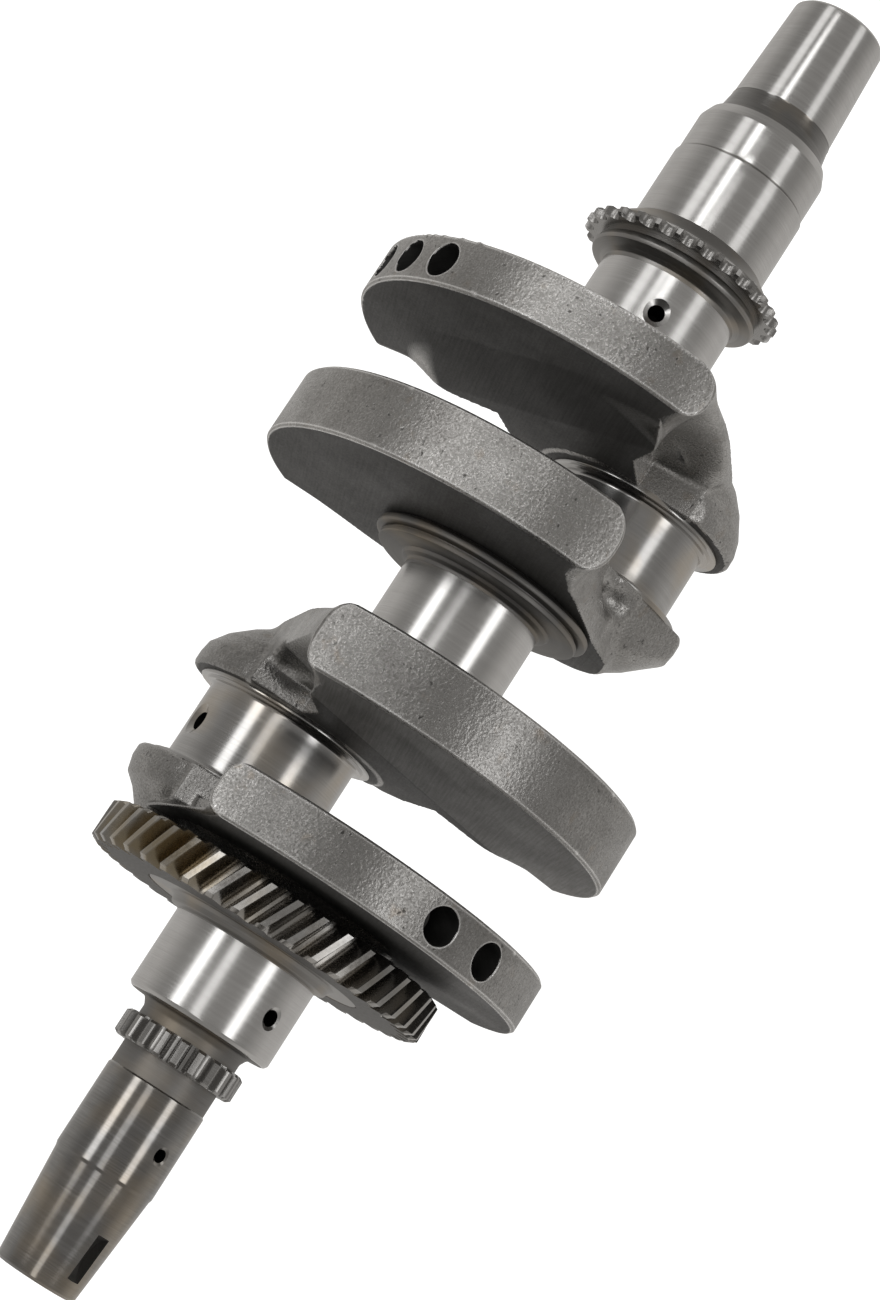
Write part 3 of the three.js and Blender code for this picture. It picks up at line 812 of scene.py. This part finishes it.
def gear(node, tooth, teeth, tip_r, root_r, bore_r, chamfer, helix=0.0):
    """A toothed ring. The tooth ends are chamfered, and the ring is closed round its bore."""
    start, end = span(node)
    run, drop = chamfer
    stations = sorted({start, *np.linspace(start + run, end - run, 7), end})
    twist = math.tan(math.radians(helix)) / tip_r
    angles, heights = [], []
    for index in range(teeth):
        for along, height in tooth:
            angles.append((index + along) * 2 * math.pi / teeth)
            heights.append(root_r + height * (tip_r - root_r))
    angles, heights = np.array(angles), np.array(heights)
    rings = []

    def add_ring(x, radii):
        turned = angles - twist * (x - start)
        along = np.full(len(angles), x)
        rings.append(np.stack([along, radii * np.sin(turned), radii * np.cos(turned)], 1))

    # The side faces are flat between the bore and a circle just under the tooth roots
    flat = [np.full(len(angles), radius) for radius in (bore_r, root_r - 1.2)]
    edge_break = 0.25
    for x in stations:
        closeness = max(0, 1 - min(x - start, end - x) / run)
        if x == start:
            add_ring(x, flat[0])
            add_ring(x, flat[1])
        add_ring(x, np.minimum(heights, tip_r - drop * closeness) - edge_break * closeness)
        if x == end:
            add_ring(x, flat[1])
            add_ring(x, flat[0])
    verts = np.concatenate(rings)
    faces = ring_faces(len(rings), len(angles), closed=True)
    return new_object(f"{node}_teeth", verts, faces)


def build_gears():
    """The three toothed rings, by CAD node. A chamfer is (length along the shaft, drop in radius)."""
    return {
        "balancer_drive_gear": gear(
            "balancer_drive_gear", HELICAL_TOOTH,
            teeth=41, tip_r=54.9, root_r=48.9, bore_r=35.05, chamfer=(1.1, 2.0), helix=26,
        ),
        "oil_pump_drive_gear": gear(
            "oil_pump_drive_gear", SPUR_TOOTH,
            teeth=21, tip_r=19.3, root_r=16.5, bore_r=8, chamfer=(0.8, 0.9),
        ),
        "cam_chain_sprocket": gear(
            "cam_chain_sprocket", CHAIN_TOOTH,
            teeth=29, tip_r=33.0, root_r=29.9, bore_r=12, chamfer=(0.7, 0.8),
        ),
    }


# ------------------------ materials


class Nodes:
    """Short calls for building a material's node tree."""

    def __init__(self, name):
        self.material = bpy.data.materials.new(name)
        self.material.use_nodes = True
        self.tree = self.material.node_tree
        self.shader = self.tree.nodes["Principled BSDF"]

    def put(self, socket, value):
        """Links a socket to another node's output, or gives it a constant."""
        if isinstance(value, bpy.types.NodeSocket):
            self.tree.links.new(value, socket)
        else:
            socket.default_value = value

    def add(self, kind, inputs=None, **settings):
        node = self.tree.nodes.new(kind)
        for key, value in settings.items():
            setattr(node, key, value)
        for key, value in (inputs or {}).items():
            self.put(node.inputs[key], value)
        return node

    def math(self, operation, a, b=0.0):
        return self.add("ShaderNodeMath", {0: a, 1: b}, operation=operation).outputs[0]

    def plus(self, a, b):
        return self.math("ADD", a, b)

    def times(self, a, b):
        return self.math("MULTIPLY", a, b)

    def size(self, a, b):
        """The length of a vector with these two parts."""
        return self.math("SQRT", self.plus(self.times(a, a), self.times(b, b)))

    def split(self, vector):
        return tuple(self.add("ShaderNodeSeparateXYZ", {0: vector}).outputs)

    def noise(self, vector, scale, detail=3.0, roughness=0.5):
        inputs = {"Vector": vector, "Scale": scale, "Detail": detail, "Roughness": roughness}
        return self.add("ShaderNodeTexNoise", inputs).outputs["Fac"]

    def ramp(self, value, low, high, start=0.0, stop=1.0):
        """value mapped from low..high to start..stop and kept inside it."""
        limits = {"From Min": low, "From Max": high, "To Min": start, "To Max": stop}
        return self.add("ShaderNodeMapRange", {"Value": value, **limits}).outputs[0]

    def mix(self, share, a, b):
        return self.add("ShaderNodeMix", {0: share, 6: a, 7: b}, data_type="RGBA").outputs[2]

    def bump(self, height, strength, distance, normal=None):
        inputs = {"Height": height, "Strength": strength, "Distance": distance}
        if normal is not None:
            inputs["Normal"] = normal
        return self.add("ShaderNodeBump", inputs).outputs[0]

    def set(self, **inputs):
        """Gives the shader's inputs their values."""
        for key, value in inputs.items():
            self.put(self.shader.inputs[key.replace("_", " ")], value)

    def turned_vector(self, centre, along, around):
        """Coordinates that run along the shaft and round an axis through centre, for tool marks."""
        place = self.add("ShaderNodeTexCoord").outputs["Object"]
        shift = (0, -centre[0] * MM, -centre[1] * MM)
        moved = self.add("ShaderNodeMapping", {"Vector": place, "Location": shift}).outputs[0]
        x, y, z = self.split(moved)
        radius = self.size(y, z)
        lengthwise = self.times(self.plus(x, radius), along)
        # The unit circle instead of the angle, so that the marks close without a seam
        around_y = self.times(self.math("DIVIDE", y, radius), around)
        around_z = self.times(self.math("DIVIDE", z, radius), around)
        parts = {0: lengthwise, 1: around_y, 2: around_z}
        return place, self.add("ShaderNodeCombineXYZ", parts).outputs[0]


def grey(value, warm=0.0):
    """A grey colour, with more red and less blue where it is warm."""
    return (value * (1 + warm), value, value * (1 - 1.3 * warm), 1)


# How densely tool marks follow each other along the shaft, and how much they vary round it
FINE_RINGS = (5200, 1.6)
BROAD_RINGS = (420, 0.5)
GEAR_RINGS = (1500, 1.5)


def turned_material(name, centre, dark, light, rough, marks, warm=0.02, stain=None):
    """Ground or turned steel: fine rings from the tool, soft stains, and slightly uneven gloss."""
    n = Nodes(name)
    place, vector = n.turned_vector(centre, *FINE_RINGS)
    fine = n.noise(vector, 1.0, 1.0)
    _, broad_vector = n.turned_vector(centre, *BROAD_RINGS)
    broad = n.noise(broad_vector, 1.0, 2.0)
    cloud = n.noise(place, 30, 3.0)
    tone = n.plus(n.plus(n.times(fine, 0.4), n.times(broad, 0.25)), n.times(cloud, 0.35))
    colour = n.mix(n.ramp(tone, 0.3, 0.7), grey(dark, warm), grey(light, warm * 0.6))
    if stain is not None:
        tint, amount = stain
        patch = n.ramp(n.noise(place, 55, 2.0), 0.48, 0.7, 0.0, amount)
        colour = n.mix(patch, colour, tint)
    uneven = n.ramp(cloud, 0.3, 0.7, rough - 0.02, rough + 0.04)
    roughness = n.plus(n.ramp(fine, 0.3, 0.7, -0.02, 0.02), uneven)
    n.set(Base_Color=colour, Metallic=1.0, Roughness=roughness)
    n.set(Normal=n.bump(fine, marks, 0.00004))
    return n.material


# Only the counterweights' rims have bright worn edges with a painted highlight on them, which fade in
# between these radii
WORN_HIGHLIGHT_FROM, WORN_HIGHLIGHT_FULL = 0.070, 0.073
EDGE_ROUND = 0.0008
# The inner webs' faces towards a crankpin lie between these distances from the middle of the shaft
PIN_FACES_FROM, PIN_FACES_TO = 0.035, 0.051
BLEND = 0.001


def forged_material(name, dark, light, up):
    """Shot-blasted forging skin with pits, and rims rubbed bright with a painted highlight along their
    edges; flat side faces are machined, with a dark dull colour that paints in the shade they reflect.

    up is the direction from crankpin to counterweight, as (y, z).
    """
    n = Nodes(name)
    place = n.add("ShaderNodeTexCoord").outputs["Object"]
    normal = n.add("ShaderNodeNewGeometry").outputs["True Normal"]
    rounded_normal = n.add("ShaderNodeBevel", {"Radius": EDGE_ROUND}, samples=4).outputs[0]
    machined = n.ramp(n.math("ABSOLUTE", n.split(normal)[0]), 0.975, 0.99)
    cloud = n.noise(place, 38, 5.0, 0.6)
    grain = n.noise(place, 1500, 3.0, 0.65)
    dimples = n.noise(place, 800, 2.0, 0.5)
    pits = n.ramp(n.noise(place, 700, 1.0, 0.3), 0.26, 0.32, 1.0, 0.0)
    pits = n.times(pits, n.ramp(n.noise(place, 90, 2.0), 0.45, 0.6))
    worn_highlight = rim_wear_and_highlight(n, place, normal, rounded_normal)
    flat, marks = machined_faces_in_shade(n, place, up)
    bare_in_shade = n.times(machined, n.math("SUBTRACT", 1.0, worn_highlight))

    tone = n.plus(n.times(cloud, 0.45), n.times(grain, 0.55))
    colour = n.mix(n.ramp(tone, 0.36, 0.64), grey(dark, 0.04), grey(light, 0.02))
    rust = n.ramp(n.noise(place, 130, 3.0, 0.6), 0.62, 0.72, 0.0, 0.3)
    colour = n.mix(rust, colour, (0.26, 0.2, 0.14, 1))
    colour = n.mix(n.times(pits, 0.75), colour, grey(0.04, 0.05))
    # Painted highlight: near white along the rims' edges, for wear and for the light they catch
    colour = n.mix(worn_highlight, colour, grey(0.95, 0.01))
    # Painted shade: the flat side faces take a dark colour for the shade they reflect
    colour = n.mix(bare_in_shade, colour, flat)

    roughness = n.plus(n.ramp(grain, 0.3, 0.7, 0.08, -0.08), n.ramp(cloud, 0.3, 0.7, 0.36, 0.22))
    roughness = n.plus(roughness, n.times(bare_in_shade, 0.2))
    skin = n.plus(n.times(grain, 0.7), dimples)
    skin = n.math("SUBTRACT", skin, n.times(pits, 0.5))
    height = n.add("ShaderNodeMix", {0: machined, 2: skin, 3: n.times(marks, 0.12)}, data_type="FLOAT")
    # The flat faces are made dull as well, which keeps the painted shade dark
    n.set(Base_Color=colour, Metallic=n.ramp(bare_in_shade, 0.0, 1.0, 0.95, 0.2), Roughness=roughness)
    n.set(Specular_IOR_Level=n.ramp(bare_in_shade, 0.0, 1.0, 0.5, 0.15))
    n.set(Normal=n.bump(height.outputs[0], 0.7, 0.0002, rounded_normal))
    return n.material


def rim_wear_and_highlight(n, place, normal, rounded_normal):
    """1 along the edges of the counterweights' rims, where the skin is rubbed bright and a painted
    highlight stands in for the light the edges catch.
    """
    _, y, z = n.split(place)
    parts = {0: rounded_normal, 1: normal}
    turn = n.add("ShaderNodeVectorMath", parts, operation="DOT_PRODUCT").outputs["Value"]
    edge = n.ramp(turn, 0.999, 0.96)
    return n.times(edge, n.ramp(n.size(y, z), WORN_HIGHLIGHT_FROM, WORN_HIGHLIGHT_FULL))


def machined_faces_in_shade(n, place, up):
    """The colour and the cutter marks of the flat side faces: a dark colour that paints in the shade they
    reflect, painted lighter beyond the crease.
    """
    x, y, z = n.split(place)
    hatching = {"Vector": place, "Rotation": (0.6, 0, 0), "Scale": (1, 1500, 50)}
    marks = n.noise(n.add("ShaderNodeMapping", hatching).outputs[0], 1.0, 2.0)
    height_q = n.plus(n.times(y, up[0]), n.times(z, up[1]))
    off_centre = n.math("ABSOLUTE", x)
    past_start = n.ramp(off_centre, PIN_FACES_FROM, PIN_FACES_FROM + BLEND)
    before_end = n.ramp(off_centre, PIN_FACES_TO - BLEND, PIN_FACES_TO, 1.0, 0.0)
    past_crease = n.ramp(height_q, (CREASE_Q + 0.6) * MM, (CREASE_Q + 1.2) * MM)
    # Painted light: the faces are lighter beyond the crease and darker before it
    beyond = n.times(n.times(past_start, before_end), past_crease)
    beyond = n.ramp(beyond, 0.0, 1.0, 0.6, 1.7)
    # Painted shade: near black for faces that look dark because they reflect the shaded space between and
    # under the webs
    flat = n.mix(n.ramp(marks, 0.35, 0.65), grey(0.068, 0.04), grey(0.1, 0.03))
    shade = n.add("ShaderNodeCombineXYZ", {0: beyond, 1: beyond, 2: beyond}).outputs[0]
    shaded = n.add("ShaderNodeVectorMath", {0: flat, 1: shade}, operation="MULTIPLY")
    return shaded.outputs[0], marks


def gear_material(name, dark, light):
    """Hardened teeth: darker steel with a straw tint in patches that is painted stronger on the lit +Y
    side, bright worn edges with a painted highlight, and flat faces with a dark colour that paints in the
    shade they reflect.
    """
    n = Nodes(name)
    place = n.add("ShaderNodeTexCoord").outputs["Object"]
    geometry = n.add("ShaderNodeNewGeometry")
    cloud = n.noise(place, 40, 2.0)
    grain = n.noise(place, 900, 2.0)
    tone = n.plus(n.times(cloud, 0.8), n.times(grain, 0.2))
    colour = n.mix(n.ramp(tone, 0.38, 0.62), grey(dark, 0.03), grey(light, 0.03))
    # Painted light: the straw tint is stronger towards +Y, the lit side
    lit_side = n.ramp(n.split(place)[1], 0.0, 0.035, 0.12, 0.6)
    straw = n.times(lit_side, n.ramp(n.noise(place, 60, 3.0), 0.38, 0.6))
    colour = n.mix(straw, colour, (0.36, 0.27, 0.13, 1))
    # Painted highlight: the sharp edges are mixed lighter, for wear and for the light they catch
    worn_highlight = n.ramp(geometry.outputs["Pointiness"], 0.52, 0.6)
    colour = n.mix(n.times(worn_highlight, 0.6), colour, grey(0.5, 0.01))
    _, ring_vector = n.turned_vector((0, 0), *GEAR_RINGS)
    rings = n.noise(ring_vector, 1.0, 2.0)
    flat = n.ramp(n.math("ABSOLUTE", n.split(geometry.outputs["True Normal"])[0]), 0.9, 0.97)
    # Painted shade: the flat side faces take a dark colour for the shade they reflect
    colour = n.mix(flat, colour, grey(light * 0.22, 0.05))
    roughness = n.plus(n.ramp(grain, 0.3, 0.7, 0.2, 0.3), n.times(flat, 0.25))
    n.set(Base_Color=colour, Metallic=n.ramp(flat, 0.0, 1.0, 1.0, 0.25), Roughness=roughness)
    n.set(Specular_IOR_Level=n.ramp(flat, 0.0, 1.0, 0.5, 0.15))
    n.set(Normal=n.bump(n.plus(rings, grain), 0.1, 0.00006))
    return n.material


STRAW_STAIN = ((0.5, 0.4, 0.27, 1), 0.35)
# Ground or turned about the shaft: material name, dark and light tone, roughness, depth of the marks,
# and where they differ from plain steel, the warmth and the stain
SHAFT_FINISHES = {
    "ground": ("ground_steel_finish", 0.5, 0.64, 0.19, 0.05),
    "taper": ("ground_taper_finish", 0.18, 0.33, 0.15, 0.04, 0.03, STRAW_STAIN),
    "turned": ("turned_steel_finish", 0.22, 0.34, 0.36, 0.15, 0.04, STRAW_STAIN),
    "collar": ("turned_collar_finish", 0.17, 0.27, 0.5, 0.15, 0.04, STRAW_STAIN),
    "sprocket": ("sprocket_finish", 0.27, 0.38, 0.27, 0.05, 0.03),
    "slot": ("key_slot_finish", 0.2, 0.3, 0.4, 0.1, 0.03),
    "drilled": ("balance_hole_finish", 0.12, 0.22, 0.45, 0.2),
    # Painted shade: the drilled bores are near black, for the shade inside them
    "bore": ("drilled_bore_painted_shade", 0.015, 0.04, 0.5, 0.3),
}
PIN_TONES = (0.34, 0.5, 0.17, 0.04, 0.02, STRAW_STAIN)
FORGED_TONES = {1: (0.17, 0.4), 2: (0.22, 0.48)}


def build_materials():
    """Every finish by name, with one forged and one ground finish for each throw."""
    made = {
        finish: turned_material(name, (0, 0), *tones)
        for finish, (name, *tones) in SHAFT_FINISHES.items()
    }
    for number, throw in THROWS.items():
        centre = middle(f"crankpin_{number}")
        made[f"pin_{number}"] = turned_material(f"ground_pin_{number}_finish", centre, *PIN_TONES)
        made[f"forged_{number}"] = forged_material(
            f"forged_steel_{number}_finish", *FORGED_TONES[number], radial(throw["angle"])
        )
    made["gear"] = gear_material("gear_steel_finish", 0.24, 0.36)
    return made


# ------------------------ studio

# The view from above: its lean along the shaft and about it, in radians, and the camera's place in
# millimetres before that roll about the shaft
VIEW_TILT = 0.1902
VIEW_ROLL = 0.0086
VIEW_BACK = 168.91
VIEW_HEIGHT = 852.46
# The focal length as a share of the image's height
FOCAL_SHARE = 2.2979231
SENSOR = 36
# How far the shaft runs to the right and up in the image, as parts of one
SHAFT_RIGHT, SHAFT_UP = 0.54202, 0.84037
FLOOR_Z = -0.1806
FLOOR_REACH = 25.0
SOFT_WHITE = (1, 0.975, 0.94, 1)
# The softboxes: name, place, the point it faces, size, power
LIGHTS = [
    ("long_softbox_near", (0.42, -0.9, 0.9), (0.42, 0, 0), (1.5, 0.38), 1.5),
    ("middle_softbox_near", (0.0, -0.9, 0.92), (0.0, 0, 0), (0.8, 0.3), 0.9),
    ("long_softbox_far", (0.42, 0.9, 0.9), (0.42, 0, 0), (1.5, 0.38), 1.75),
    ("middle_softbox_far", (0.0, 0.9, 0.92), (0.0, 0, 0), (0.8, 0.3), 1.05),
    ("short_strip", (0.46, 0.16, 1.1), (0.46, 0, 0), (0.12, 0.24), 0.33),
    ("bright_strip", (0.7, 0.44, 1.1), (0.7, 0, 0), (0.36, 0.2), 0.7),
    ("faint_strip", (-0.25, 0.2, 1.1), (-0.2, 0, 0), (1.0, 0.26), 0.85),
]


def rolled(vector):
    """A vector turned about the shaft by the view's roll."""
    x, y, z = vector
    c, s = math.cos(VIEW_ROLL), math.sin(VIEW_ROLL)
    return Vector((x, c * y - s * z, s * y + c * z))


def build_camera():
    """Looks down on the shaft, which runs up the image at a slant."""
    data = bpy.data.cameras.new("camera")
    camera = bpy.data.objects.new("camera", data)
    bpy.context.scene.collection.objects.link(camera)
    data.sensor_width = SENSOR
    data.lens = SENSOR * FOCAL_SHARE
    along = rolled((math.cos(VIEW_TILT), 0, math.sin(VIEW_TILT)))
    back = rolled((-math.sin(VIEW_TILT), 0, math.cos(VIEW_TILT)))
    across = rolled((0, 1, 0))
    right = along * SHAFT_RIGHT - across * SHAFT_UP
    up = along * SHAFT_UP + across * SHAFT_RIGHT
    basis = Matrix((right, up, back)).transposed()
    camera.matrix_world = basis.to_4x4()
    camera.location = rolled((-VIEW_BACK, 0, VIEW_HEIGHT)) * MM
    data.clip_start, data.clip_end = 0.01, 100
    bpy.context.scene.camera = camera


def soft_box(name, place, aim, size, power):
    """A rectangular area light at a place, turned to face a point."""
    data = bpy.data.lights.new(name, "AREA")
    data.shape = "RECTANGLE"
    data.size, data.size_y = size
    data.energy = power
    light = bpy.data.objects.new(name, data)
    bpy.context.scene.collection.objects.link(light)
    light.location = place
    light.rotation_euler = (Vector(aim) - Vector(place)).to_track_quat("-Z", "Y").to_euler()


def build_floor():
    """Plain pale paper, which the polished metal does not mirror."""
    mesh = bpy.data.meshes.new("floor")
    signs = ((-1, -1), (1, -1), (1, 1), (-1, 1))
    corners = [(x * FLOOR_REACH, y * FLOOR_REACH, FLOOR_Z) for x, y in signs]
    mesh.from_pydata(corners, [], [(0, 1, 2, 3)])
    floor = bpy.data.objects.new("floor", mesh)
    bpy.context.scene.collection.objects.link(floor)
    floor.visible_glossy = False
    n = Nodes("floor_paper")
    n.set(Base_Color=(0.8, 0.8, 0.8, 1), Roughness=0.9)
    n.set(Emission_Color=(1, 1, 1, 1), Emission_Strength=0.85)
    mesh.materials.append(n.material)


def build_world():
    """Soft light from all round, a little stronger from below the horizon than from above."""
    world = bpy.data.worlds.new("studio")
    bpy.context.scene.world = world
    world.use_nodes = True
    tree = world.node_tree
    background = tree.nodes["Background"]
    background.inputs["Color"].default_value = SOFT_WHITE
    place = tree.nodes.new("ShaderNodeTexCoord").outputs["Generated"]
    split = tree.nodes.new("ShaderNodeSeparateXYZ")
    tree.links.new(place, split.inputs[0])
    level = tree.nodes.new("ShaderNodeMapRange")
    for key, value in {"From Min": 0.25, "From Max": -0.35, "To Min": 0.3, "To Max": 0.55}.items():
        level.inputs[key].default_value = value
    tree.links.new(split.outputs[2], level.inputs["Value"])
    tree.links.new(level.outputs[0], background.inputs["Strength"])


# ------------------------ assembly

# Finish, library slot and nodes. The webs and the carved pieces already carry their materials, so
# their finish is only a name here.
FINISHES = [
    ("ground", "ground_steel", ["main_journal_1", "main_journal_2", "main_journal_3"]),
    ("ground", "ground_steel", ["seal_journal", "clutch_shoulder", "clutch_taper"]),
    ("taper", "ground_steel", ["flywheel_taper", "flywheel_seat", "clutch_neck"]),
    ("pin_1", "ground_steel", ["crankpin_1"]),
    ("pin_2", "ground_steel", ["crankpin_2"]),
    ("turned", "turned_steel", ["drive_gear_seat", "sprocket_collar", "seal_cone"]),
    ("collar", "turned_steel", ["centre_collar_a", "centre_collar_b"]),
    ("collar", "turned_steel", ["pump_gear_neck", "main_journal_1_neck"]),
    ("gear", "gear_steel", ["balancer_drive_gear"]),
    ("sprocket", "gear_steel", ["oil_pump_drive_gear", "cam_chain_sprocket"]),
    ("forged", "forged_steel", ["web_1", "web_2", "web_3", "web_4"]),
]
FINISH_OF = {node: (finish, slot) for finish, slot, nodes in FINISHES for node in nodes}

bpy.context.scene.view_settings.view_transform = "Standard"
build_camera()
build_floor()
build_world()
for light in LIGHTS:
    soft_box(*light)
materials = build_materials()
pieces = {**build_round_sections(), **build_gears(), **build_webs()}
for node, piece in pieces.items():
    finish, slot = FINISH_OF[node]
    if not piece.data.materials:
        piece.data.materials.append(materials[finish])
    smooth(piece)
    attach(piece, "root")
    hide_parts(node)
